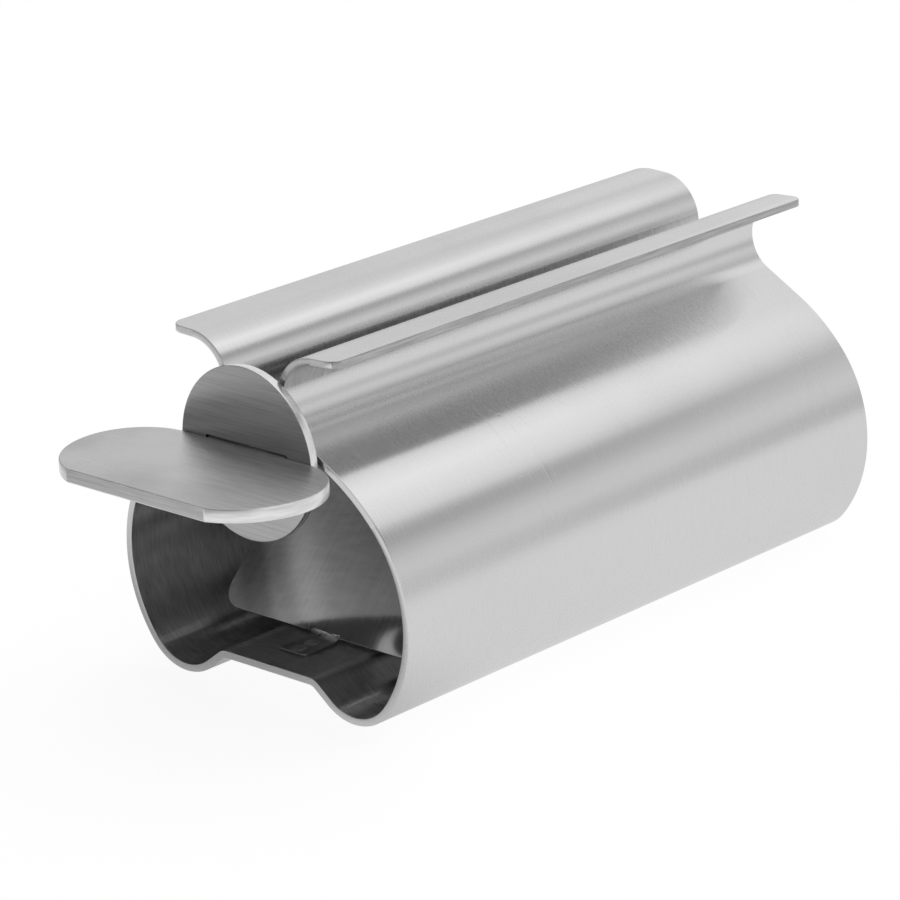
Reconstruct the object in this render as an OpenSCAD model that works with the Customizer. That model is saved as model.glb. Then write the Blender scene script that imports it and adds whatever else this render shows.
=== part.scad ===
/* [Tube shell] */
// Length of the shell along the tube's flat end
shell_len = 90; // [80:1:140]
// Thickness of the shell's sheet
sheet_t = 1.0; // [0.6:0.1:1.4]
// Clear gap between the two lips, where the flat tube hangs through
slot_gap = 8.3; // [6:0.1:10]
// Slope of the short webs that drop from the raised floor to the feet
heel_angle = 37.5; // [32:0.5:42]
// Centreline radius of the crease beside the raised floor
heel_r = 2.0; // [1.6:0.1:2.6]
// Straight run of the web between the crease and the foot
heel_run = 2.6; // [1.6:0.1:4]
// Centreline radius of each rounded foot
foot_r = 6.9; // [6.2:0.1:7.6]
// Heading of the sheet where a foot opens into the barrel wall
foot_end = 52; // [48:1:56]
// Centreline radius of the barrel wall
barrel_r = 18.2; // [17:0.1:19.4]
// Heading of the sheet where the barrel wall meets the shoulder
barrel_end = 131; // [128:0.5:134]
// Centreline radius of the flatter shoulder
shoulder_r = 26; // [22:0.25:31]
// Heading of the sheet along the straight part below the neck
neck_heading = 150; // [147:1:153]
// Straight run of the sheet from the shoulder to the neck
neck_run = 6.2; // [5.2:0.1:7.2]
// Centreline radius of the rolled neck and lip
lip_r = 5.6; // [5:0.1:6.2]
// Slope left on the lip where it ends, above the horizontal
lip_rise = 2.5; // [0:0.5:6]
// Flat run at the end of the lip
lip_run = 4.0; // [3:0.05:4.8]
// Corner radius at the four ends of the lips
lip_corner_r = 1.8; // [1:0.1:2.4]

/* [Spring plate] */
// Thickness of the spring plate
leaf_t = 0.4; // [0.3:0.05:0.6]
// Width of the spring plate across the shell
leaf_w = 37.2; // [32:0.1:38]
// Distance of the plate's lower edges in from the shell's ends
leaf_inset = 10.5; // [8:0.1:12]
// Slope of the ramps where they leave the floor
ramp_foot_angle = 48; // [44:1:52]
// Slope lost along each gently curved ramp
ramp_ease = 6; // [4:1:8]
// Bend radius at the top of each ramp
crown_r = 16; // [12:0.5:18]
// Corner radius of the plate's four lower corners
leaf_corner_r = 3; // [2:0.1:4]
// Width of the middle tab at each end
tab_w = 4.6; // [4:0.1:6]
// Length of the flat part of the tab on the floor
tab_len = 5.5; // [4.5:0.1:6.5]
// Bend radius between the tab and the ramp
tab_bend_r = 1.0; // [0.8:0.1:1.5]

/* [Spot welds] */
// Diameter of each spot weld
spot_d = 2.2; // [1.6:0.1:2.6]
// Height of a spot weld's button above the tab
spot_h = 0.15; // [0.1:0.05:0.25]
// Diameter of the flat on top of each button
spot_crown_d = 1.2; // [0.8:0.1:1.5]
// Distance between the two spot welds
spot_pitch = 2.6; // [2.4:0.1:2.8]

/* [Winding key] */
// Thickness of the key's plate
key_t = 1.8; // [1.2:0.1:2]
// Greatest half width of the thumb grip
grip_half = 19.0; // [17.4:0.1:20]
// Half width of the grip's straight front edge
nose_half = 11.7; // [10.6:0.1:13]
// Distance from the grip's widest line to its front edge
nose_len = 10.1; // [9:0.1:12]
// Radius of the round shoulders behind the grip's widest line
grip_shoulder_r = 8.5; // [7.5:0.1:9.5]
// Width of the tongue where it passes through the disc
tongue_w = 13.4; // [12.6:0.1:14]
// Width of the fork that turns in the shell
fork_w = 12; // [11:0.1:12.4]
// Width of the slit that takes the tube's flat end
tail_slit_w = 2.0; // [1.6:0.1:2.6]
// Unslit length of the fork behind the disc
fork_root_len = 5; // [4:0.1:8]
// Distance that the fork ends short of the shell's rear end
fork_setback = 4; // [2:0.1:8]
// Corner radius at the fork's tips
tip_r = 2; // [1.5:0.1:2.2]

/* [Stop disc] */
// Radius of the disc
disc_r = 11.1; // [10:0.1:12]
// Thickness of the disc
disc_t = 1.2; // [1:0.1:1.5]
// Radius of the weld beads behind the disc
bead_r = 1.1; // [0.8:0.1:1.3]
// Length of each weld bead
bead_len = 3; // [2:0.1:3.4]
// Distance of each weld bead's inner end from the middle
bead_start = 2; // [1.6:0.1:2.2]

/* [Clearances] */
// Gap between the turning fork and the neck
neck_play = 0.5; // [0.4:0.05:0.8]
// Gap between the turning fork and the spring plate
leaf_play = 0.35; // [0.3:0.05:0.6]
// Gap between the disc and the shell's front end
disc_play = 0.5; // [0.3:0.1:1.6]
// Height left over the tongue in the disc's slot
slot_play = 0.3; // [0.2:0.05:0.4]
// Gap at each end of the tongue in the disc's slot
slot_end_play = 0.2; // [0.1:0.05:0.3]

/* [Hidden] */
$fn = 96;
// Overshoot of every cutting solid past the face that it cuts, and of halves past their middle
over = 1;
// Turn of a sheet's bend between two points of its outline
bend_pitch = 3;

// Points on a sheet's centreline are [x, y, heading in degrees].
// A step is [run, 0] for a straight run, or [radius, turn] for a bend, positive to the left.
function next_station(at, step) =
    step[1] == 0
    ? [at.x + step[0] * cos(at.z), at.y + step[0] * sin(at.z), at.z]
    : let (side = sign(step[1]), heading = at.z + step[1])
      [at.x + side * step[0] * (sin(heading) - sin(at.z)),
       at.y - side * step[0] * (cos(heading) - cos(at.z)),
       heading];
function stations(steps, at, i = 0) =
    i == len(steps) ? [at] : concat([at], stations(steps, next_station(at, steps[i]), i + 1));
// The same path with every bend cut into short turns
function fine_steps(steps) = [
    for (step = steps)
        let (parts = max(1, ceil(abs(step[1]) / bend_pitch)))
        for (i = [1 : parts])
            [step[0], step[1] / parts]
];
function path(steps, at) = stations(fine_steps(steps), at);
// A path's mirror image about x = middle, run backwards
function mirrored(run, middle) = [
    for (i = [len(run) - 1 : -1 : 0])
        [2 * middle - run[i].x, run[i].y, -run[i].z]
];
function left_of(at, distance) = [at.x - distance * sin(at.z), at.y + distance * cos(at.z)];

// Shell profile: the right half, from the edge of the raised floor up to the lip's end
wall_steps = [
    [heel_r, -heel_angle],
    [heel_run, 0],
    [foot_r, foot_end + heel_angle],
    [barrel_r, barrel_end - foot_end],
    [shoulder_r, neck_heading - barrel_end],
    [neck_run, 0],
    [lip_r, lip_rise - neck_heading],
    [lip_run, 0]
];
foot_step = 2;
lip_step = 6;
loose_wall = stations(wall_steps, [0, 0, 0]);
// Centre of the lip's bend, measured from the edge of the raised floor
loose_lip_x = loose_wall[lip_step].x + lip_r * sin(neck_heading);
loose_lip_z = loose_wall[lip_step].y - lip_r * cos(neck_heading);
lip_x = slot_gap / 2 + sheet_t / 2 + lip_r;
floor_half = lip_x - loose_lip_x;
// The feet's outer skin touches z = 0
floor_z = foot_r + sheet_t / 2 - (loose_wall[foot_step].y + foot_r * cos(heel_angle));
floor_top = floor_z + sheet_t / 2;
lip_z = loose_lip_z + floor_z;
lip_end = stations(wall_steps, [floor_half, floor_z, 0])[len(wall_steps)];

// The fork turns in the largest circle that clears the neck
fork_sweep = sqrt(pow(fork_w / 2, 2) + pow(key_t / 2, 2));
neck_reach = fork_sweep + neck_play + lip_r + sheet_t / 2;
axis_z = lip_z - sqrt(pow(neck_reach, 2) - pow(lip_x, 2));

// Spring plate profile
ramp_top_angle = ramp_foot_angle - ramp_ease;
leaf_floor_z = floor_top + leaf_t / 2;
leaf_crown_z = axis_z - fork_sweep - leaf_play - leaf_t / 2;
tab_bend_rise = tab_bend_r * (1 - cos(ramp_foot_angle));
crown_rise = crown_r * (1 - cos(ramp_top_angle));
ramp_r = (leaf_crown_z - leaf_floor_z - tab_bend_rise - crown_rise)
    / (cos(ramp_top_angle) - cos(ramp_foot_angle));
tab_bend_depth = tab_bend_r * sin(ramp_foot_angle);
tab_steps = [[tab_len, 0], [tab_bend_r, ramp_foot_angle]];
tab_start = [leaf_inset - tab_bend_depth - tab_len, leaf_floor_z, 0];
ramp_steps = [[ramp_r, -ramp_ease], [crown_r, -ramp_top_angle]];
ramp_start = [leaf_inset, leaf_floor_z + tab_bend_rise, ramp_foot_angle];

// Key, measured from the shell's front end
disc_back = -disc_play;
disc_front = disc_back - disc_t;
grip_widest = disc_front - grip_shoulder_r;
grip_front = grip_widest - nose_len;
grip_side_r = (pow(grip_half - nose_half, 2) + pow(nose_len, 2)) / (2 * (grip_half - nose_half));
fork_end = shell_len - fork_setback;
key_bottom = axis_z - key_t / 2;

// The whole part is centred over the origin
shell_front = -(shell_len + grip_front) / 2;

module place() {
    translate([0, shell_front, 0])
        children();
}

module both_sides() {
    children();
    mirror([1, 0, 0])
        children();
}

// A sheet's cut section along a path
module section(run, thickness) {
    polygon(concat(
        [for (at = run) left_of(at, thickness / 2)],
        [for (i = [len(run) - 1 : -1 : 0]) left_of(run[i], -thickness / 2)]
    ));
}

// What rounds off a square corner at the origin, its edges along +X and +Y
module corner_cut(radius) {
    difference() {
        translate([-over, -over])
            square(radius + over);
        translate([radius, radius])
            circle(radius);
    }
}

module shell_section() {
    right_wall = path(wall_steps, [floor_half, floor_z, 0]);
    section(concat(mirrored(right_wall, 0), right_wall), sheet_t);
}

module lip_corner_cuts() {
    both_sides()
        translate([lip_end.x, 0, lip_end.y])
            for (end = [0, 1])
                translate([0, end * shell_len, 0])
                    mirror([0, end, 0])
                        rotate([0, 0, 90])
                            linear_extrude(3 * sheet_t, center = true)
                                corner_cut(lip_corner_r);
}

module shell() {
    color("silver")
        place()
            difference() {
                translate([0, shell_len, 0])
                    rotate([90, 0, 0])
                        linear_extrude(shell_len)
                            shell_section();
                lip_corner_cuts();
            }
}

// Runs a section drawn in Y and Z across the shell
module across(width) {
    rotate([90, 0, 90])
        translate([0, 0, -width / 2])
            linear_extrude(width)
                children();
}

// Frees the middle tab from the sheet on both sides of it
module tab_side_cuts() {
    both_sides()
        translate([tab_w / 2, ramp_start.x, ramp_start.y])
            rotate([ramp_foot_angle, 0, 0])
                translate([0, -2 * tab_len, -tab_len])
                    cube([leaf_w, 2 * tab_len, 3 * tab_len]);
}

module leaf_corner_cuts() {
    both_sides()
        translate([leaf_w / 2, ramp_start.x, ramp_start.y])
            rotate([ramp_foot_angle, 0, 0])
                rotate([0, 0, 90])
                    linear_extrude(4 * leaf_t, center = true)
                        corner_cut(leaf_corner_r);
}

module both_ends() {
    children();
    translate([0, shell_len, 0])
        mirror([0, 1, 0])
            children();
}

module spring_plate() {
    half_run = path(concat(tab_steps, ramp_steps), tab_start);
    color("lightsteelblue")
        place()
            difference() {
                across(leaf_w)
                    section(concat(half_run, mirrored(half_run, shell_len / 2)), leaf_t);
                both_ends() {
                    leaf_corner_cuts();
                    tab_side_cuts();
                }
            }
}

module spot_welds() {
    tab_middle = tab_start.x + tab_len / 2;
    color("dimgray")
        place()
            for (side = [-1, 1])
                translate([0, tab_middle + side * spot_pitch / 2, floor_top + leaf_t])
                    cylinder(d1 = spot_d, d2 = spot_crown_d, h = spot_h);
}

// Right half of the thumb grip, from just past the middle
module half_grip() {
    side_x = grip_half - grip_side_r;
    shoulder_x = grip_half - grip_shoulder_r;
    intersection() {
        translate([-over, grip_front])
            square([grip_half + over, nose_len + over]);
        union() {
            translate([side_x, grip_widest])
                circle(grip_side_r);
            translate([-over, grip_front])
                square([max(side_x, 0) + over, nose_len]);
        }
    }
    translate([-over, grip_widest])
        square([shoulder_x + over, grip_shoulder_r]);
    translate([shoulder_x, grip_widest])
        intersection() {
            circle(grip_shoulder_r);
            translate([-over, -over])
                square(grip_shoulder_r + over);
        }
}

module fork_outline() {
    translate([-tongue_w / 2, grip_widest])
        square([tongue_w, disc_back - grip_widest]);
    difference() {
        translate([-fork_w / 2, disc_front])
            square([fork_w, fork_end - disc_front]);
        both_sides()
            translate([fork_w / 2, fork_end])
                rotate(180)
                    corner_cut(tip_r);
        translate([0, fork_root_len])
            circle(d = tail_slit_w);
        translate([-tail_slit_w / 2, fork_root_len])
            square([tail_slit_w, fork_end]);
    }
}

module winding_key() {
    color("gainsboro")
        place()
            translate([0, 0, key_bottom])
                linear_extrude(key_t) {
                    both_sides()
                        half_grip();
                    fork_outline();
                }
}

module stop_disc() {
    slot_half = tongue_w / 2 + slot_end_play;
    color("darkgray")
        place()
            difference() {
                translate([0, disc_back, axis_z])
                    rotate([90, 0, 0])
                        cylinder(r = disc_r, h = disc_t);
                translate([-slot_half, disc_front - over, key_bottom])
                    cube([2 * slot_half, disc_t + 2 * over, key_t + slot_play]);
            }
}

// Quarter-round bead in the corner between the disc's back and the fork
module weld_bead() {
    intersection() {
        rotate([0, 90, 0])
            cylinder(r = bead_r, h = bead_len);
        cube([bead_len, bead_r, bead_r]);
    }
}

module disc_weld_beads() {
    color("gray")
        place()
            translate([0, disc_back, axis_z])
                for (up = [0, 1])
                    mirror([0, 0, up])
                        both_sides()
                            translate([bead_start, 0, key_t / 2])
                                weld_bead();
}

shell();
spring_plate();
spot_welds();
winding_key();
stop_disc();
disc_weld_beads();
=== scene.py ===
# %% [markdown]
# # A steel toothpaste tube squeezer
#
# The real thing is bent and welded from stainless sheet: a curled shell with a slot along its
# neck, a polished spring plate inside, and a flat forked key with a stop disc. Everything here
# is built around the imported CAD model, in metres and in the CAD's own frame, so each piece is
# made at its true size and place and nothing has to be fitted afterwards.

# %% Load the frame
import math

import bmesh
import bpy
from mathutils import Matrix, Vector


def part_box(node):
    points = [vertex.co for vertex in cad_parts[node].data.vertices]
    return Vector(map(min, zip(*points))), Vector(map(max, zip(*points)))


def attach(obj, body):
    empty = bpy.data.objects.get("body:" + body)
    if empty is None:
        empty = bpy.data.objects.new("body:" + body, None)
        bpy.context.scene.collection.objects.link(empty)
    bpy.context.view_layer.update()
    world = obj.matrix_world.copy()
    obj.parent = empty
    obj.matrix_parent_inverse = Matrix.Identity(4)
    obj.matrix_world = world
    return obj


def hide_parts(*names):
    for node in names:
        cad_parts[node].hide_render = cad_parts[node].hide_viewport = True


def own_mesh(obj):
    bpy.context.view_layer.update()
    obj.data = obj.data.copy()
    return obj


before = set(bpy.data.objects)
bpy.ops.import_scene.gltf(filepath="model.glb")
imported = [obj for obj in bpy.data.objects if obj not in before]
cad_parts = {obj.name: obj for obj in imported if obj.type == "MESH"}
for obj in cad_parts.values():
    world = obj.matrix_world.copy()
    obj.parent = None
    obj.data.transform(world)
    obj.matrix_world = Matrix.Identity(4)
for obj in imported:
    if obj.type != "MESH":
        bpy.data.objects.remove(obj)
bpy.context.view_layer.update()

mm = 0.001

# %% [markdown]
# ## The camera
#
# The photograph was taken from above the front right corner with a long lens: lines that are
# parallel on the squeezer stay nearly parallel in the picture. A lens of 167 mm from 54 cm
# away gives the same small amount of perspective. The camera is aimed at the middle of the
# picture instead of being shifted, so that it stays centred when it moves to other views.

# %% Place the camera
camera_place = Vector((344.37, -367.24, 193.38)) * mm
aim_point = Vector((-5.71, 5.59, 20.08)) * mm
camera_roll = math.radians(-2.145)

camera = bpy.data.objects.new("camera", bpy.data.cameras.new("camera"))
bpy.context.scene.collection.objects.link(camera)
camera.data.lens = 166.52
camera.data.sensor_width = 36
camera.data.clip_start = 0.01
camera.data.clip_end = 20
camera.location = camera_place
look = (aim_point - camera_place).to_track_quat("-Z", "Y").to_matrix()
camera.rotation_euler = (look @ Matrix.Rotation(camera_roll, 3, "Z")).to_euler()
bpy.context.scene.camera = camera
print("camera distance in mm:", round((aim_point - camera_place).length / mm, 1))

# %% [markdown]
# ## Tools for the bench
#
# A sheet metal worker marks, bends and trims one piece at a time. The helpers below do the same
# with Blender's own operators: start a piece from a primitive, pick some of its edges by where
# they are, swing them round a bend or push them along a straight run, and finish it with
# modifiers. Every operator works on whatever is selected, so each helper selects first.


# %% Start, pick and finish
def only(piece):
    bpy.ops.object.select_all(action="DESELECT")
    piece.select_set(True)
    bpy.context.view_layer.objects.active = piece


def begin(name):
    """Names the primitive that was just added, fixes its place in its mesh and opens it."""
    piece = bpy.context.object
    piece.name = piece.data.name = name
    only(piece)
    bpy.ops.object.transform_apply(location=True, rotation=True, scale=True)
    bpy.ops.object.mode_set(mode="EDIT")
    bpy.ops.mesh.select_all(action="DESELECT")
    return piece


def pick(kind, wanted):
    """In edit mode, selects the VERT, EDGE or FACE parts for which wanted(part) is true."""
    bpy.ops.mesh.select_mode(type=kind)
    bpy.ops.mesh.select_all(action="DESELECT")
    mesh = bmesh.from_edit_mesh(bpy.context.object.data)
    parts = {"VERT": mesh.verts, "EDGE": mesh.edges, "FACE": mesh.faces}[kind]
    for part in parts:
        if wanted(part):
            part.select_set(True)
    bmesh.update_edit_mesh(bpy.context.object.data)


SLACK = 0.01 * mm  # points closer together than this count as one


def at(part, axis, place):
    """True if a vertex, or every vertex of an edge or face, lies at that place on an axis."""
    points = part.verts if hasattr(part, "verts") else [part]
    return all(abs(point.co[axis] - place) < SLACK for point in points)


def middle(part):
    points = [point.co for point in part.verts]
    return sum(points, Vector()) / len(points)


def push(x=0.0, y=0.0, z=0.0):
    """Draws the selection out along a straight run."""
    bpy.ops.mesh.extrude_region_move(TRANSFORM_OT_translate={"value": (x, y, z)})


def face_outward():
    bpy.ops.mesh.select_all(action="SELECT")
    bpy.ops.mesh.normals_make_consistent(inside=False)


def close():
    bpy.ops.object.mode_set(mode="OBJECT")


def modify(piece, kind, **settings):
    only(piece)
    step = piece.modifiers.new(kind.lower(), kind)
    for name, value in settings.items():
        setattr(step, name, value)
    bpy.ops.object.modifier_apply(modifier=step.name)


def mirror(piece, axis):
    """Adds the other half of a piece across 0 on an axis, and opens the whole of it."""
    sides = [index == axis for index in range(3)]
    modify(piece, "MIRROR", use_axis=sides, merge_threshold=SLACK)
    only(piece)
    bpy.ops.object.mode_set(mode="EDIT")
    bpy.ops.mesh.select_all(action="SELECT")


def soften(piece, width):
    """Breaks the sharp edges of a plate by a small rounded bevel, as deburring does, and shades
    it smooth with the large faces kept true, so that the small rounded edges catch light."""
    modify(
        piece,
        "BEVEL",
        width=width,
        segments=2,
        limit_method="ANGLE",
        angle_limit=math.radians(50),
        use_clamp_overlap=False,
    )
    only(piece)
    bpy.ops.object.shade_smooth_by_angle(angle=math.radians(35))
    modify(piece, "WEIGHTED_NORMAL", weight=60, keep_sharp=True)


def report(piece):
    low = [min(v.co[i] for v in piece.data.vertices) / mm for i in range(3)]
    high = [max(v.co[i] for v in piece.data.vertices) / mm for i in range(3)]
    print(
        f"{piece.name}: {len(piece.data.polygons)} faces,",
        "from",
        [round(v, 2) for v in low],
        "to",
        [round(v, 2) for v in high],
    )


# %% [markdown]
# A bend is a spin: the free edge of the sheet swings about the axis of the bending roll, and the
# steel follows it. The path of a cut section is written as a list of steps, each a straight run
# or a bend with its radius and turn, which is also how the CAD source describes it.


# %% Bend a sheet along a path
BEND_PITCH = 1.5  # the most degrees that one face of a bend turns


def bend_path(steps, start, heading, axis, place):
    """Draws the selection along steps of (size in mm, turn in degrees). A turn of 0 is a straight
    run and a size of 0 a sharp corner. place(u, v) is the point for distances u and v in mm."""
    u, v = start
    for size, turn in steps:
        angle = math.radians(heading)
        if turn == 0:
            step = place(size * math.cos(angle), size * math.sin(angle))
            push(*step)
            u += size * math.cos(angle)
            v += size * math.sin(angle)
            continue
        if size == 0:
            heading += turn
            continue
        side = math.copysign(1, turn)
        centre = (u - side * size * math.sin(angle), v + side * size * math.cos(angle))
        bpy.ops.mesh.spin(
            steps=max(2, math.ceil(abs(turn) / BEND_PITCH)),
            angle=math.radians(turn),
            center=place(*centre),
            axis=axis,
            use_auto_merge=False,
        )
        heading += turn
        angle = math.radians(heading)
        u = centre[0] + side * size * math.sin(angle)
        v = centre[1] - side * size * math.cos(angle)
    return u, v, heading


# %% [markdown]
# ## The shell
#
# On the real object this is one blank of 1 mm stainless sheet, 90 mm long, bent over rolls: a
# raised floor, two rounded feet, the round walls, flatter shoulders, and two lips that roll
# outward and leave the slot for the tube. It could be lofted from one outline, but bending it
# the way it was made keeps every radius true, and the thickness comes last, as with real sheet.

# %% Bend the right half of the blank
SHEET = 1.0 * mm
shell_front, shell_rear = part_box("shell")[0].y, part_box("shell")[1].y
shell_length = shell_rear - shell_front
floor_edge, floor_level = 7.12992, 3.92193  # mm, half way through the sheet
wall_steps = [
    (2.0, -37.5),  # crease beside the raised floor
    (2.6, 0),
    (6.9, 89.5),  # rounded foot
    (18.2, 79),  # barrel wall
    (26, 19),  # flatter shoulder
    (6.2, 0),
    (5.6, -147.5),  # rolled neck and lip
    (4.0, 0),
]

bpy.ops.object.select_all(action="DESELECT")
bpy.ops.mesh.primitive_plane_add(
    size=1,
    location=(floor_edge * mm / 2, (shell_front + shell_rear) / 2, floor_level * mm),
)
bpy.context.object.scale = (floor_edge * mm, shell_length, 1)
shell = begin("curled_shell")
pick("EDGE", lambda edge: at(edge, 0, floor_edge * mm))
lip_end = bend_path(
    wall_steps,
    (floor_edge, floor_level),
    0,
    (0, 1, 0),
    lambda u, v: (u * mm, 0, v * mm),
)
print("lip ends at", [round(v, 3) for v in lip_end])
print("faces in the half blank:", len(bmesh.from_edit_mesh(shell.data).faces))

# %% Round the lip's corners, mirror the blank and give it its thickness
LIP_CORNER = 1.8 * mm
pick(
    "VERT",
    lambda vert: abs(vert.co.x - lip_end[0] * mm) < 2 * SLACK
    and abs(vert.co.z - lip_end[1] * mm) < 2 * SLACK,
)
bpy.ops.mesh.bevel(offset=LIP_CORNER, segments=10, profile=0.5, affect="VERTICES")
close()
mirror(shell, 0)
face_outward()
close()
modify(shell, "SOLIDIFY", thickness=SHEET, offset=0, use_even_offset=True)
soften(shell, 0.14 * mm)
report(shell)

# %% [markdown]
# ## The spring plate
#
# A strip of thin polished spring steel, arched from the floor up to the key and back down. A
# narrow tab at each end lies flat on the floor, and the front one is spot welded there. Half
# of it is bent from the level crown forward, about the middle of the shell. The tab's bend
# starts a little above the lower edge, between two short cuts, as it does where a press tool
# folds it. The lower corners are rounded, then a mirror gives the rear half.

# %% Bend the front half of the spring plate
LEAF = 0.4 * mm
leaf_half_width, tab_half_width = 18.6 * mm, 2.3 * mm
crown_run, crown_level = 7.21006, 25.6463  # mm, half way through the plate


def leaf_place(u, v):
    """u runs forward from the shell's middle and v runs down."""
    return (0, -u * mm, -v * mm)


bpy.ops.object.select_all(action="DESELECT")
bpy.ops.mesh.primitive_plane_add(
    size=1, location=(0, -crown_run * mm / 2, crown_level * mm)
)
bpy.context.object.scale = (2 * leaf_half_width, crown_run * mm, 1)
leaf = begin("polished_spring_plate")
pick("EDGE", lambda edge: at(edge, 1, -crown_run * mm))
foot = bend_path(
    [(16, 42), (224.063, 6)], (crown_run, -crown_level), 0, (-1, 0, 0), leaf_place
)
print("ramp ends at", [round(v, 3) for v in foot])

# %% Cut and fold the tab and round the corners
# The fold lies this far in mm behind and above the lower edge, so that a bend of the steps'
# radius brings the tab down flat on the floor.
fold_behind, fold_above = 0.298, 0.331
tab_steps = [(2.0, -48), (5.055, 0)]
LEAF_CORNER, TAB_CORNER = 3 * mm, 0.6 * mm

for side in (-1, 1):
    bpy.ops.mesh.select_all(action="SELECT")
    bpy.ops.mesh.bisect(plane_co=(side * tab_half_width, 0, 0), plane_no=(1, 0, 0))
fold = (foot[0] - fold_behind, foot[1] - fold_above)
fold_line = -fold[0] * mm
pick("FACE", lambda face: abs(middle(face).x) < tab_half_width)
bpy.ops.mesh.bisect(plane_co=(0, fold_line, 0), plane_no=(0, 1, 0))
pick("FACE", lambda face: abs(middle(face).x) < tab_half_width and middle(face).y < fold_line)
bpy.ops.mesh.delete(type="FACE")
pick("EDGE", lambda edge: at(edge, 1, fold_line) and abs(middle(edge).x) < tab_half_width / 2)
tab_end = bend_path(tab_steps, fold, foot[2], (-1, 0, 0), leaf_place)
print("tab ends at", [round(v, 3) for v in tab_end])
pick(
    "VERT",
    lambda vert: at(vert, 1, -foot[0] * mm) and abs(abs(vert.co.x) - leaf_half_width) < SLACK,
)
bpy.ops.mesh.bevel(offset=LEAF_CORNER, segments=10, profile=0.5, affect="VERTICES")
pick("VERT", lambda vert: at(vert, 1, -tab_end[0] * mm))
bpy.ops.mesh.bevel(offset=TAB_CORNER, segments=4, profile=0.5, affect="VERTICES")
close()
mirror(leaf, 1)
face_outward()
bpy.ops.transform.translate(value=(0, (shell_front + shell_rear) / 2, 0))
close()
modify(leaf, "SOLIDIFY", thickness=LEAF, offset=0, use_even_offset=True)
soften(leaf, 0.06 * mm)
report(leaf)

# %% [markdown]
# ## The winding key
#
# One flat plate 1.8 mm thick: a wide thumb grip in front, a tongue through the stop disc, and a
# long fork whose slit takes the flat end of the tube. Its outline is drawn the way a template
# is marked out, with a compass for the arcs and a straight edge for the rest: a point is swung
# round each centre in turn. The half outline is then filled, mirrored and drawn up.

# %% Mark out half of the key
KEY = 1.8 * mm
axis_level = 32.2634 * mm
key_bottom = axis_level - KEY / 2
nose_half, nose_line = 11.7, -20.3
grip_start = 18.2832  # degrees between the nose and the side of the grip
outline_steps = [
    (10.637, 71.7168),  # side of the grip
    (8.5, 90),  # its round shoulder
    (3.8, 0),
    (0, -90),
    (1.2, 0),  # tongue, as deep as the disc
    (0, 90),
    (0.7, 0),
    (0, -90),
    (84.5, 0),  # outer edge of the fork
    (2, 90),  # its rounded tip
    (3, 0),
    (0, 90),
    (81, 0),  # slit
    (1, -90),  # half of the slit's round root
]

bpy.ops.object.select_all(action="DESELECT")
bpy.ops.mesh.primitive_plane_add(
    size=nose_half * mm,
    location=(nose_half * mm / 2, (nose_line + nose_half / 2) * mm, key_bottom),
)
key = begin("forked_winding_key")
pick("VERT", lambda vert: not at(vert, 1, nose_line * mm))
bpy.ops.mesh.delete(type="VERT")
pick("VERT", lambda vert: at(vert, 0, nose_half * mm))
slit_root = bend_path(
    outline_steps,
    (nose_half, nose_line),
    grip_start,
    (0, 0, -1),
    lambda u, v: (u * mm, v * mm, 0),
)
print("slit's root at", [round(v, 3) for v in slit_root])

# %% Fill, mirror and draw the key up to its thickness
pick("VERT", lambda vert: at(vert, 0, 0))
bpy.ops.mesh.edge_face_add()
pick("EDGE", lambda edge: True)
bpy.ops.mesh.edge_face_add()
close()
mirror(key, 0)
push(z=KEY)
face_outward()
bpy.ops.transform.translate(value=(0, shell_front, 0))
close()
soften(key, 0.2 * mm)
report(key)

# %% [markdown]
# ## The stop disc
#
# A round washer of 1.2 mm sheet with a slot for the tongue, welded on from behind. It keeps the
# key from sliding back into the shell. A filled circle is cut by four straight bisects, the
# middle field is taken out as the slot, and the rest is drawn to its thickness.

# %% Cut the stop disc
DISC, DISC_RADIUS = 1.2 * mm, 11.1 * mm
SHELL_CLEARANCE, SLOT_PLAY = 0.5 * mm, 0.2 * mm
disc_back = shell_front - SHELL_CLEARANCE
slot_half = 6.9 * mm
slot_top = key_bottom + KEY + SLOT_PLAY

bpy.ops.object.select_all(action="DESELECT")
bpy.ops.mesh.primitive_circle_add(
    vertices=144,
    radius=DISC_RADIUS,
    fill_type="NGON",
    location=(0, disc_back, axis_level),
    rotation=(math.radians(90), 0, 0),
)
disc = begin("slotted_stop_disc")
for place, normal in (
    ((-slot_half, 0, 0), (1, 0, 0)),
    ((slot_half, 0, 0), (1, 0, 0)),
    ((0, 0, key_bottom), (0, 0, 1)),
    ((0, 0, slot_top), (0, 0, 1)),
):
    bpy.ops.mesh.select_all(action="SELECT")
    bpy.ops.mesh.bisect(plane_co=place, plane_no=normal)
pick(
    "FACE",
    lambda face: abs(middle(face).x) < slot_half and key_bottom < middle(face).z < slot_top,
)
bpy.ops.mesh.delete(type="FACE")
bpy.ops.mesh.select_all(action="SELECT")
push(y=-DISC)
face_outward()
close()
soften(disc, 0.16 * mm)
report(disc)

# %% [markdown]
# ## Weld metal
#
# Behind the disc, four short beads hold it to the fork. A bead is a row of frozen drops, so it
# is made of overlapping round drops that a remesh melts into one lump. The two spot welds on
# the spring plate's tab are pressed from above: a low button with a shallow dimple.


# %% Lay the four beads behind the disc
def join(pieces):
    bpy.ops.object.select_all(action="DESELECT")
    for piece in pieces:
        piece.select_set(True)
    bpy.context.view_layer.objects.active = pieces[0]
    bpy.ops.object.join()


# Each drop's distance from the middle, its distance behind the disc and its radius in mm.
bead_drops = ((2.95, 0.42, 0.74), (3.55, 0.47, 0.82), (4.1, 0.42, 0.72))
drop_level = KEY / 2 + 0.2 * mm  # above and below the key's middle plane

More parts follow.
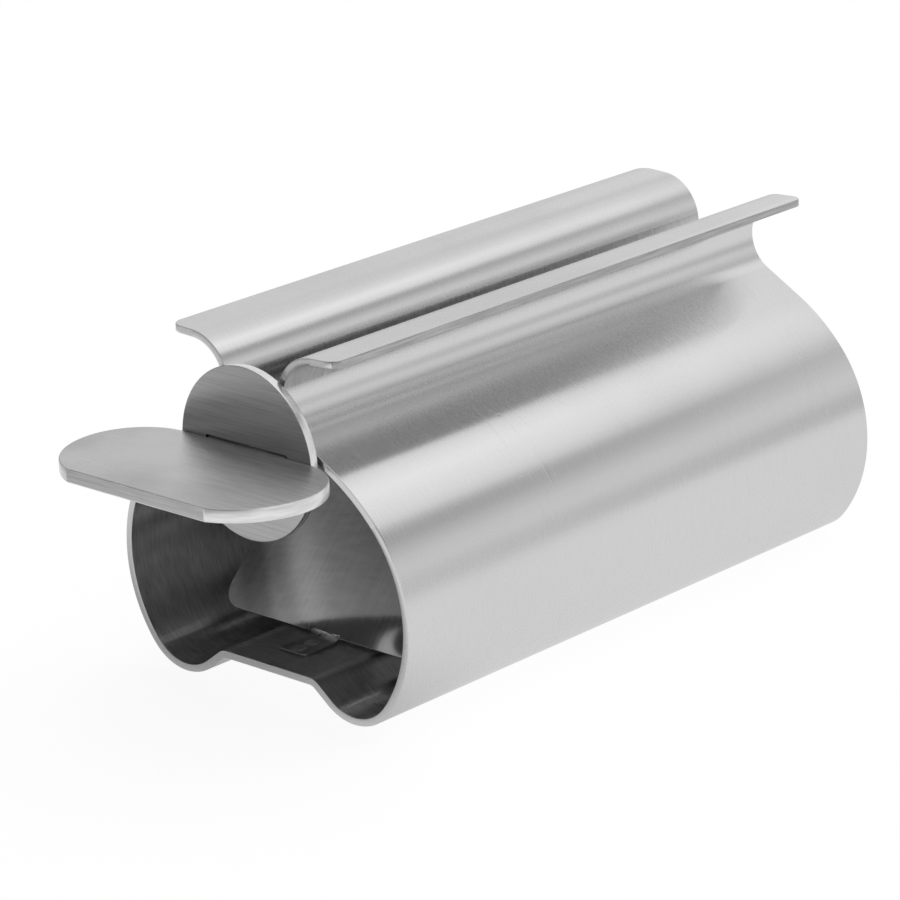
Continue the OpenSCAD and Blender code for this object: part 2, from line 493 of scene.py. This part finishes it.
drops = []
for side in (-1, 1):
    for up in (-1, 1):
        for reach, behind, radius in bead_drops:
            place = (side * reach * mm, disc_back + behind * mm, axis_level + up * drop_level)
            bpy.ops.mesh.primitive_ico_sphere_add(
                subdivisions=3, radius=radius * mm, location=place
            )
            drops.append(bpy.context.object)
join(drops)
beads = begin("disc_weld_metal")
close()
modify(beads, "REMESH", mode="VOXEL", voxel_size=0.13 * mm)
modify(beads, "SMOOTH", factor=0.6, iterations=3)
only(beads)
bpy.ops.object.shade_smooth()
report(beads)

# %% Press the two spot welds
floor_top = floor_level * mm + SHEET / 2
tab_top = floor_top + LEAF
spot_middle, spot_step = shell_front + 6.8 * mm, 1.2 * mm
SPOT_RADIUS, SPOT_FOOT = 1.1 * mm, 0.03 * mm
spot_rings = ((0.12, 0.02), (0.3, 0.02), (0.22, -0.01), (0.2, -0.03))  # width and rise in mm

spots = []
for side in (-1, 1):
    bpy.ops.object.select_all(action="DESELECT")
    bpy.ops.mesh.primitive_cylinder_add(
        vertices=32,
        radius=SPOT_RADIUS,
        depth=SPOT_FOOT,
        location=(0, spot_middle + side * spot_step, tab_top + SPOT_FOOT / 2),
    )
    spot = begin("spot_weld")
    pick("FACE", lambda face: face.normal.z > 0.9)
    for width, rise in spot_rings:
        bpy.ops.mesh.inset(thickness=width * mm, depth=rise * mm)
    close()
    spots.append(spot)
join(spots)
spots = bpy.context.object
spots.name = spots.data.name = "tab_spot_welds"
modify(spots, "SUBSURF", levels=1, render_levels=1)
only(spots)
bpy.ops.object.shade_smooth()
report(spots)

# %% [markdown]
# ## Brushed steel
#
# Every plate was brushed with an abrasive belt, which leaves thousands of fine parallel
# strokes. Across the strokes the surface is rough and light spreads far; along them it stays
# fairly sharp. The shader says the same with anisotropy: a UV map whose U axis runs across the
# strokes tells it which way to spread. The strokes themselves are noise stretched a long way in
# one direction, shared by all the materials as one node group.


# %% The grain's direction as a UV map
MAP_SCALE = 10  # map widths per metre
TILT = 0.37  # tips the map's second axis, so that level and upright faces have some area in it


def lay_grain(piece, across, along):
    """A UV map whose U runs across the brush strokes, so that highlights spread that way."""
    layer = piece.data.uv_layers.new(name="grain")
    across, along = Vector(across), Vector(along)
    for loop in piece.data.loops:
        point = piece.data.vertices[loop.vertex_index].co
        u, v = MAP_SCALE * point.dot(across) + 0.5, MAP_SCALE * point.dot(along)
        layer.data[loop.index].uv = (u, v)
    print(piece.name, "has its grain map, with U along", tuple(across))


lay_grain(shell, (0, 1, 0), (TILT, 0, 1))
lay_grain(leaf, (1, 0, 0), (0, 1, TILT))
lay_grain(key, (0, 1, 0), (1, 0, 0))
lay_grain(disc, (0, 0, 1), (1, 0, 0))


# %% Small helpers for shader nodes
def wire(tree, kind, links=(), **settings):
    """Adds a node. links are (input, value or socket); settings are the node's own options."""
    node = tree.nodes.new("ShaderNode" + kind)
    for name, value in settings.items():
        setattr(node, name, value)
    for name, value in links:
        if isinstance(value, bpy.types.NodeSocket):
            tree.links.new(value, node.inputs[name])
        else:
            node.inputs[name].default_value = value
    return node


def new_group(name, inputs, outputs):
    tree = bpy.data.node_groups.new(name, "ShaderNodeTree")
    for label, kind, default in inputs:
        socket = tree.interface.new_socket(label, in_out="INPUT", socket_type=kind)
        socket.default_value = default
    for label, kind in outputs:
        tree.interface.new_socket(label, in_out="OUTPUT", socket_type=kind)
    return tree, tree.nodes.new("NodeGroupInput").outputs, tree.nodes.new("NodeGroupOutput")


def math_node(tree, operation, a, b=0.0, clamp=False):
    node = wire(tree, "Math", ((0, a), (1, b)), operation=operation, use_clamp=clamp)
    return node.outputs[0]


def vector_math(tree, operation, *values):
    node = wire(tree, "VectorMath", enumerate(values), operation=operation)
    return node.outputs["Vector" if operation == "MULTIPLY" else "Value"]


def mix_color(tree, factor, first, second):
    links = (("Factor", factor), (6, first), (7, second))
    return wire(tree, "Mix", links, data_type="RGBA").outputs[2]


def noise(tree, place, scale, detail):
    links = (("Vector", place), ("Scale", scale), ("Detail", detail))
    return wire(tree, "TexNoise", links).outputs[0]


def remap(tree, value, low, high, to_low=0.0, to_high=1.0, kind="SMOOTHSTEP"):
    links = (("Value", value), ("From Min", low), ("From Max", high))
    links += (("To Min", to_low), ("To Max", to_high))
    return wire(tree, "MapRange", links, interpolation_type=kind).outputs[0]


# %% [markdown]
# Two sizes of stroke are mixed: hair lines about a tenth of a millimetre wide, and broader soft
# strokes where the belt pressed harder. The group gives their height for a bump, and a tone
# that lets the colour and roughness follow the same strokes.

# %% Node group: brush strokes
VECTOR, FLOAT = "NodeSocketVector", "NodeSocketFloat"
strokes_group, given, result = new_group(
    "brush_strokes",
    [("Place", VECTOR, (0, 0, 0)), ("Strokes per metre", VECTOR, (250, 7000, 250))],
    [("Height", FLOAT), ("Tone", FLOAT)],
)
tree = strokes_group
BROAD_PART = 0.6  # height of the broad strokes beside the hair lines
BROAD_COUNT = (0.6, 0.45, 0.6)  # how many there are for each hair line, along X, Y and Z
fine_place = vector_math(tree, "MULTIPLY", given[0], given[1])
fine = noise(tree, fine_place, 1.0, 2.0)
broad_place = vector_math(tree, "MULTIPLY", fine_place, BROAD_COUNT)
broad = noise(tree, broad_place, 1.0, 3.0)
height = math_node(tree, "MULTIPLY", broad, BROAD_PART)
height = math_node(tree, "ADD", height, fine)
tone = math_node(tree, "MULTIPLY", height, 1 / (1 + BROAD_PART), clamp=True)
tree.links.new(height, result.inputs[0])
tree.links.new(remap(tree, tone, 0.3, 0.7), result.inputs[1])
print("group", tree.name, "has", len(tree.nodes), "nodes")

# %% [markdown]
# Use leaves its own marks: a few thin scratches that cross the strokes, and soft smudges where
# fingers and cleaning cloths have been. Scratches are the narrow places where a stretched noise
# passes through its middle value, kept only inside scattered patches.

# %% Node group: scratches and smudges
marks_group, given, result = new_group(
    "scratches_and_smudges",
    [("Place", VECTOR, (0, 0, 0)), ("Amount", FLOAT, 1.0)],
    [("Scratch", FLOAT), ("Smudge", FLOAT)],
)
SCRATCH_COUNT = (55, 700, 90)  # noise units per metre along X, Y and Z
SCRATCH_WIDTH = 0.009  # how far from the middle value the noise may be
PATCH_SCALE = 0.23  # beside the scratches' own noise
SMUDGES_PER_METRE = 60.0

tree = marks_group
scratch = None
for turn, seed in ((0.5, 3.1), (-0.9, 8.7)):
    turned = wire(
        tree,
        "Mapping",
        (
            ("Vector", given[0]),
            ("Location", (seed, seed, seed)),
            ("Rotation", (turn, turn * 0.7, turn * 1.3)),
            ("Scale", SCRATCH_COUNT),
        ),
    )
    level = noise(tree, turned.outputs[0], 1.0, 0.0)
    away = math_node(tree, "ABSOLUTE", math_node(tree, "SUBTRACT", level, 0.5))
    line = remap(tree, away, 0.0, SCRATCH_WIDTH, 1.0, 0.0)
    patch = noise(tree, turned.outputs[0], PATCH_SCALE, 0.0)
    line = math_node(tree, "MULTIPLY", line, remap(tree, patch, 0.6, 0.68))
    scratch = line if scratch is None else math_node(tree, "MAXIMUM", scratch, line)
scratch = math_node(tree, "MULTIPLY", scratch, given[1])
smudge = remap(tree, noise(tree, given[0], SMUDGES_PER_METRE, 4.0), 0.35, 0.75)
smudge = math_node(tree, "MULTIPLY", smudge, given[1])
tree.links.new(scratch, result.inputs[0])
tree.links.new(smudge, result.inputs[1])
print("group", tree.name, "has", len(tree.nodes), "nodes")

# %% [markdown]
# The steel itself is one recipe with different values for each finish: a grey metal whose tone
# and roughness follow the strokes, a bump for the strokes, a finer one for the scratches, and
# anisotropy along the grain map.


# %% A brushed steel from its values
STROKE_DEPTH, SCRATCH_DEPTH = 0.03 * mm, 0.02 * mm
SCRATCH_STRENGTH = 0.5
SMUDGED = 1.22  # how many times rougher a smudge is
STROKE_SHARE = 0.1  # part of the roughness that the strokes add or take away


def brushed_steel(name, grey, rough, spread, strokes, bump, marks, tone):
    """strokes are counts per metre along X, Y and Z, and spread is the anisotropy. bump, marks
    and tone say how strongly the strokes stand out, how worn it is and how its grey varies."""
    material = bpy.data.materials.new(name)
    material.use_nodes = True
    tree = material.node_tree
    shader = tree.nodes["Principled BSDF"]
    place = wire(tree, "TexCoord").outputs["Object"]
    grain = wire(tree, "Group", node_tree=strokes_group)
    tree.links.new(place, grain.inputs[0])
    grain.inputs[1].default_value = strokes
    wear = wire(tree, "Group", node_tree=marks_group)
    tree.links.new(place, wear.inputs[0])
    wear.inputs[1].default_value = marks

    darker, paler = ((*[grey * share] * 3, 1) for share in (1 - tone, 1 + tone))
    color = mix_color(tree, grain.outputs["Tone"], darker, paler)
    tree.links.new(color, shader.inputs["Base Color"])
    roughness = remap(tree, wear.outputs["Smudge"], 0.0, 1.0, rough, rough * SMUDGED, "LINEAR")
    most = STROKE_SHARE * rough
    stroke_part = remap(tree, grain.outputs["Tone"], 0.0, 1.0, -most, most, "LINEAR")
    roughness = math_node(tree, "ADD", roughness, stroke_part, clamp=True)
    tree.links.new(roughness, shader.inputs["Roughness"])
    shader.inputs["Metallic"].default_value = 1.0
    shader.inputs["Anisotropic"].default_value = spread
    if spread > 0:
        across = wire(tree, "Tangent", direction_type="UV_MAP", uv_map="grain")
        tree.links.new(across.outputs[0], shader.inputs["Tangent"])
    links = (("Height", grain.outputs["Height"]), ("Strength", bump), ("Distance", STROKE_DEPTH))
    lines = wire(tree, "Bump", links).outputs[0]
    links = (("Height", wear.outputs["Scratch"]), ("Strength", SCRATCH_STRENGTH))
    links += (("Distance", SCRATCH_DEPTH), ("Normal", lines))
    cuts = wire(tree, "Bump", links, invert=True)
    tree.links.new(cuts.outputs[0], shader.inputs["Normal"])
    return material


# %% [markdown]
# Each finish is one row of a table. The polished spring plate is the smoothest, the weld metal
# the roughest, and the inside of the shell has coarser strokes than its outside.

# %% The finishes
# name, grey, roughness, spread, strokes per metre, bump, marks, tone
steel_table = (
    ("shell_steel", 0.7, 0.25, 0.9, (600, 8500, 600), 0.07, 0.6, 0.03),
    # its grey is lower than the outside's: partly the inside's own rougher finish, partly painted
    # shade of the hollow
    ("shell_inner_skin", 0.58, 0.3, 0.85, (480, 4600, 480), 0.3, 0.2, 0.15),
    ("spring_steel", 0.62, 0.08, 0.0, (3200, 120, 120), 0.035, 0.5, 0.06),
    ("key_steel", 0.87, 0.42, 0.85, (220, 3000, 3000), 0.24, 1.0, 0.1),
    ("disc_steel", 0.54, 0.2, 0.75, (110, 4000, 4000), 0.24, 1.0, 0.14),
    ("cut_edge_steel", 0.82, 0.3, 0.0, (3500, 3500, 3500), 0.1, 0.4, 0.06),
    # darker than the key's other edges: painted shade on the face that looks forward
    ("key_front_painted_shade_steel", 0.55, 0.28, 0.6, (160, 2600, 4500), 0.25, 0.6, 0.14),
    ("key_side_steel", 0.8, 0.28, 0.0, (300, 300, 2600), 0.2, 0.8, 0.14),
    ("tab_steel", 0.5, 0.34, 0.0, (1500, 200, 1500), 0.1, 0.5, 0.08),
    ("lip_cut_steel", 0.42, 0.3, 0.3, (4000, 160, 5000), 0.35, 0.8, 0.22),
    # near black: painted shade under the spring plate's lower edge and inside the disc's slot
    ("painted_shade_edge_steel", 0.16, 0.4, 0.0, (2500, 2500, 2500), 0.2, 0.5, 0.1),
    ("weld_metal", 0.36, 0.5, 0.0, (1500, 1500, 1500), 0.6, 1.0, 0.35),
    ("pressed_spot_steel", 0.62, 0.34, 0.0, (2500, 2500, 2500), 0.1, 0.8, 0.1),
)
steel = {row[0]: brushed_steel(*row) for row in steel_table}
print("finishes:", ", ".join(steel))

# %% [markdown]
# Sheared edges are not brushed. The punch leaves a matt, slightly torn face, brighter than the
# brushed one on the rims of the shell and the disc, and darker on the lips' ends. The spring
# plate's lower edge and the walls of the disc's slot get a near-black steel, which is painted
# shade under the edge and inside the slot, and the key's front face a darker grey than its other
# edges, which is painted shade on the face that looks forward. So the narrow faces of each plate
# get finishes of their own. The faces are told apart by where they are and which way they look.


# %% Give each piece its finishes
def coat(piece, *coats):
    """The first finish covers the piece. Each later one covers the faces that its test takes."""
    for number, (name, wanted) in enumerate(coats):
        piece.data.materials.append(steel[name])
        for face in piece.data.polygons:
            if wanted(face):
                face.material_index = number
    numbers = [face.material_index for face in piece.data.polygons]
    counts = [f"{numbers.count(number)} {name}" for number, (name, _) in enumerate(coats)]
    print(piece.name, "faces:", ", ".join(counts))


def every_face(face):
    return True


lip_level = 44.3 * mm
lip_end_reach = 10.8 * mm
barrel_middle = 20 * mm  # its level
near_floor, on_floor = 4.9 * mm, 4.86 * mm  # levels just over the tab's top


def shell_cut(face):
    on_lip = face.center.z > lip_level and abs(face.center.x) > lip_end_reach
    return abs(face.normal.y) > 0.5 or (on_lip and abs(face.normal.z) < 0.6)


def shell_inside(face):
    inward = Vector((-face.center.x, 0, barrel_middle - face.center.z))
    below_lips = face.center.z < lip_level
    return below_lips and not shell_cut(face) and face.normal.dot(inward) > 0


def lip_cut(face):
    return face.center.z > lip_level and shell_cut(face) and abs(face.normal.y) < 0.8


def low_edge(face):
    return face.center.z < near_floor and abs(face.normal.y) > 0.4


def tab_face(face):
    in_tab = abs(face.center.x) < tab_half_width and face.center.z < near_floor
    looks_up = in_tab and face.normal.z > 0.3
    lies_flat = face.center.z < on_floor and not low_edge(face)
    return looks_up or lies_flat


def slot_wall(face):
    within = abs(face.center.x) < slot_half + 0.2 * mm
    near_axis = abs(face.center.z - axis_level) < 1.4 * mm
    return within and near_axis and abs(face.normal.y) < 0.9


coat(
    shell,
    ("shell_steel", every_face),
    ("cut_edge_steel", shell_cut),
    # the inner skin's lower grey is partly painted shade of the hollow
    ("shell_inner_skin", shell_inside),
    ("lip_cut_steel", lip_cut),
)
coat(
    leaf,
    ("spring_steel", every_face),
    # the lower edge's near-black steel is painted shade under the edge
    ("painted_shade_edge_steel", low_edge),
    ("tab_steel", tab_face),
)
coat(
    key,
    ("key_steel", every_face),
    ("key_side_steel", lambda face: abs(face.normal.z) < 0.75),
    # the front face's darker grey is painted shade on the face that looks forward
    ("key_front_painted_shade_steel", lambda face: face.normal.y < -0.97),
)
coat(
    disc,
    ("disc_steel", every_face),
    ("cut_edge_steel", lambda face: abs(face.normal.y) < 0.75),
    # the slot walls' near-black steel is painted shade inside the slot
    ("painted_shade_edge_steel", slot_wall),
)
coat(beads, ("weld_metal", every_face))
coat(spots, ("pressed_spot_steel", every_face))

# %% [markdown]
# The heat of the spot welds has left a few sooty specks on the spring plate just above its
# tab. They are the high spots of a fine noise, kept to a short strip by its place.


# %% Soot above the tab
def recolor(material, mask, grey):
    """Blends a material's colour to a grey where the mask is 1."""
    tree = material.node_tree
    socket = tree.nodes["Principled BSDF"].inputs["Base Color"]
    clean = socket.links[0].from_socket
    tree.links.new(mix_color(tree, mask, clean, (*grey, 1)), socket)


tree = steel["spring_steel"].node_tree
place = wire(tree, "TexCoord").outputs["Object"]
sides = wire(tree, "SeparateXYZ", ((0, place),)).outputs
speck = remap(tree, noise(tree, place, 900.0, 3.0), 0.55, 0.68)
strip = remap(tree, sides["Z"], 5.1 * mm, 6.0 * mm, 1.0, 0.0)
width = remap(tree, math_node(tree, "ABSOLUTE", sides["X"]), 2.5 * mm, 6.5 * mm, 1.0, 0.0)
front_end = remap(tree, sides["Y"], -1 * mm, 0.0, 1.0, 0.0)
soot = math_node(tree, "MULTIPLY", math_node(tree, "MULTIPLY", strip, width), speck)
soot = math_node(tree, "MULTIPLY", soot, front_end)
recolor(steel["spring_steel"], soot, (0.16, 0.15, 0.14))
print("spring steel has", len(tree.nodes), "nodes")

# %% [markdown]
# Inside the shell the belt hardly reaches the creases beside the raised floor, which stay matt
# and are painted dark as painted shade in the creases. A darker band is painted along each wall,
# between 11.5 and 19 mm up.

# %% Painted shade in the creases and a darker band inside the shell
crease_reach = 7.8 * mm  # from the middle of the shell

tree = steel["shell_inner_skin"].node_tree
place = wire(tree, "TexCoord").outputs["Object"]
sides = wire(tree, "SeparateXYZ", ((0, place),)).outputs
from_middle = math_node(tree, "ABSOLUTE", sides["X"])
from_crease = math_node(tree, "SUBTRACT", from_middle, crease_reach)
from_crease = math_node(tree, "ABSOLUTE", from_crease)
crease = remap(tree, from_crease, 0.5 * mm, 1.6 * mm, 1.0, 0.0)
crease = math_node(tree, "MULTIPLY", crease, remap(tree, sides["Z"], 5 * mm, 6 * mm, 1.0, 0.0))
band_start = remap(tree, sides["Z"], 11.5 * mm, 14.5 * mm)
band_end = remap(tree, sides["Z"], 17 * mm, 19 * mm, 1.0, 0.0)
wall_band = math_node(tree, "MULTIPLY", band_start, band_end)
# painted shade in the creases beside the raised floor, and a darker band along each wall
painted_crease_shade = math_node(tree, "MULTIPLY", crease, 0.55)
dark_band = math_node(tree, "MULTIPLY", wall_band, 0.4)
crease_shade_and_band = math_node(tree, "MAXIMUM", painted_crease_shade, dark_band)
recolor(steel["shell_inner_skin"], crease_shade_and_band, (0.1, 0.1, 0.1))
rough_socket = tree.nodes["Principled BSDF"].inputs["Roughness"]
smooth_part = rough_socket.links[0].from_socket
rougher = math_node(tree, "MULTIPLY", crease, 0.2)
tree.links.new(math_node(tree, "ADD", smooth_part, rougher), rough_socket)
print("inner skin has", len(tree.nodes), "nodes")

# %% [markdown]
# ## The studio
#
# Polished metal has almost no colour of its own: what is seen on it is the room. The camera
# itself sees plain white, on the floor with the squeezer's soft shadow. The floor's glow that
# the metal mirrors has painted shade: a painted shadow just in front of the open end, a slow
# dimming with distance, and painted shade on the left.

# %% Floor
FLOOR_RADIUS = 4.0
MIRROR_SHARE = 0.8  # part of the mirrored floor's light that is its own glow
SEEN_LEVEL = 1.13  # makes up for the shadow's share, so that the floor looks white
opening_place = (-0.012, -0.05, 0)  # on the floor in front of the opening, X halved

bpy.ops.object.select_all(action="DESELECT")
bpy.ops.mesh.primitive_circle_add(
    vertices=96, radius=FLOOR_RADIUS, fill_type="NGON", location=(0, 0, 0)
)
floor = bpy.context.object
floor.name = "studio_floor"
floor_paint = bpy.data.materials.new("floor_paint")
floor_paint.use_nodes = True
tree = floor_paint.node_tree
tree.nodes.remove(tree.nodes["Principled BSDF"])
ray = wire(tree, "LightPath").outputs
seen = math_node(tree, "MAXIMUM", ray["Is Camera Ray"], ray["Is Glossy Ray"])
seen = math_node(tree, "MAXIMUM", seen, ray["Is Transmission Ray"])
matt = wire(tree, "BsdfDiffuse", (("Color", (0.86, 0.86, 0.86, 1)),)).outputs[0]
place = wire(tree, "TexCoord").outputs["Object"]
to_right = vector_math(tree, "DOT_PRODUCT", place, (0.8, 0.6, 0))
# painted shade: the mirrored floor's glow is dimmer on the left
right_side = remap(tree, to_right, -0.16, -0.08, 0.55, 1.0)
narrowed = vector_math(tree, "MULTIPLY", place, (0.5, 1, 1))
from_opening = vector_math(tree, "DISTANCE", narrowed, opening_place)
# painted shadow on the mirrored floor's glow just in front of the open end, where the key's grip
# shades it
shade = remap(tree, from_opening, 0.0, 0.045, 0.25, 1.0)
faded = remap(tree, vector_math(tree, "LENGTH", place), 0.16, 0.7, 1.0, 0.8)
mirrored = math_node(tree, "MULTIPLY", right_side, math_node(tree, "MULTIPLY", shade, faded))
seen_white = math_node(tree, "MULTIPLY", ray["Is Camera Ray"], SEEN_LEVEL)
strength = math_node(tree, "MAXIMUM", mirrored, seen_white)
glow = wire(tree, "Emission", (("Color", (1, 1, 1, 1)), ("Strength", strength))).outputs[0]
share = math_node(tree, "MULTIPLY", seen, MIRROR_SHARE)
blend = wire(tree, "MixShader", ((0, share), (1, matt), (2, glow)))
tree.links.new(blend.outputs[0], tree.nodes["Material Output"].inputs["Surface"])
floor.data.materials.append(floor_paint)
print("floor paint has", len(tree.nodes), "nodes")

# %% [markdown]
# Above the floor the room is a tent whose ridge runs along the squeezer. The brush strokes spread
# light lengthwise, so what a place on the shell shows depends almost only on how far round the
# tent its mirror image lies: 0 is level to the right, 0.5 overhead and 1 level to the left. Each
# arch gives the tent's grey there. The near arch has the dark gap that draws the dark band along
# the shoulder, the far arch has none, and they blend towards the rear, where the band fades. The
# front wall, which the spring plate and the disc mirror, is dim and almost black half way up.

# %% The room's light
world = bpy.data.worlds.new("light_tent")
bpy.context.scene.world = world
world.use_nodes = True
tree = world.node_tree
direction = wire(tree, "TexCoord").outputs["Generated"]
split = wire(tree, "SeparateXYZ", ((0, direction),)).outputs


def tent_wall(height, *stops):
    """Grey levels at places along a socket that runs from 0 to 1."""
    ramp = wire(tree, "ValToRGB", (("Fac", height),))
    band = ramp.color_ramp
    band.interpolation = "EASE"
    while len(band.elements) > 1:
        band.elements.remove(band.elements[-1])
    for index, (place, level) in enumerate(stops):
        stop = band.elements[0] if index == 0 else band.elements.new(place)
        stop.position = place
        stop.color = (level, level, level, 1)
    return ramp.outputs["Color"]


arch = math_node(tree, "DIVIDE", math_node(tree, "ARCTAN2", split["Z"], split["X"]), math.pi)
near_right = ((0.0, 0.68), (0.04, 0.73), (0.1, 0.89), (0.144, 0.8))
near_gap = ((0.19, 0.58), (0.235, 0.3), (0.265, 0.22), (0.288, 0.48))
near_roof = ((0.325, 0.95), (0.37, 1.04), (0.42, 1.18), (0.45, 1.1), (0.52, 0.96))
far_right = ((0.0, 0.6), (0.04, 0.56), (0.1, 0.7), (0.15, 0.8), (0.2, 0.82), (0.26, 0.95))
far_roof = ((0.3, 1.0), (0.335, 1.02), (0.37, 1.08), (0.42, 1.14), (0.45, 1.1), (0.52, 0.92))
left_part = ((0.6, 0.86), (0.7, 0.8), (0.85, 0.92), (1.0, 0.8))
near_arch = tent_wall(arch, *near_right, *near_gap, *near_roof, *left_part)
far_arch = tent_wall(arch, *far_right, *far_roof, *left_part)
front_low = ((0.0, 0.3), (0.2, 0.28), (0.33, 0.24))
front_high = ((0.5, 0.08), (0.65, 0.04), (0.78, 0.08), (0.9, 0.4), (1.0, 0.8))
front_wall = tent_wall(split["Z"], *front_low, *front_high)

farther = remap(tree, split["Y"], 0.66, 0.78, kind="LINEAR")
rear_wall = mix_color(tree, farther, near_arch, far_arch)
to_rear = vector_math(tree, "DOT_PRODUCT", direction, (0.5, 0.86, 0))
room = mix_color(tree, remap(tree, to_rear, -0.25, 0.05), front_wall, rear_wall)
room_light = wire(tree, "Background", (("Color", room), ("Strength", 1.0))).outputs[0]
white = wire(tree, "Background", (("Color", (1, 1, 1, 1)), ("Strength", 1.0))).outputs[0]
ray = wire(tree, "LightPath").outputs
sky = wire(tree, "MixShader", ((0, ray["Is Camera Ray"]), (1, room_light), (2, white)))
output = [node for node in tree.nodes if node.type == "OUTPUT_WORLD"][0]
tree.links.new(sky.outputs[0], output.inputs["Surface"])
print("the room has", len(tree.nodes), "nodes")

bpy.context.scene.view_settings.view_transform = "Standard"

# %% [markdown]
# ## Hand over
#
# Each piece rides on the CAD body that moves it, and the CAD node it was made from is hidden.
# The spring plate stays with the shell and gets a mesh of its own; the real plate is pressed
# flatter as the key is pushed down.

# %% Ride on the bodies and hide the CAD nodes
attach(shell, "shell")
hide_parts("shell")

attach(leaf, "shell")
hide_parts("spring_plate")
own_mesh(leaf)

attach(spots, "shell")
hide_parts("spot_welds")

for piece, node, slot in (
    (key, "winding_key", "key_steel"),
    (disc, "stop_disc", "key_steel"),
    (beads, "disc_weld_beads", "weld_steel"),
):
    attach(piece, "key")
    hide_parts(node)
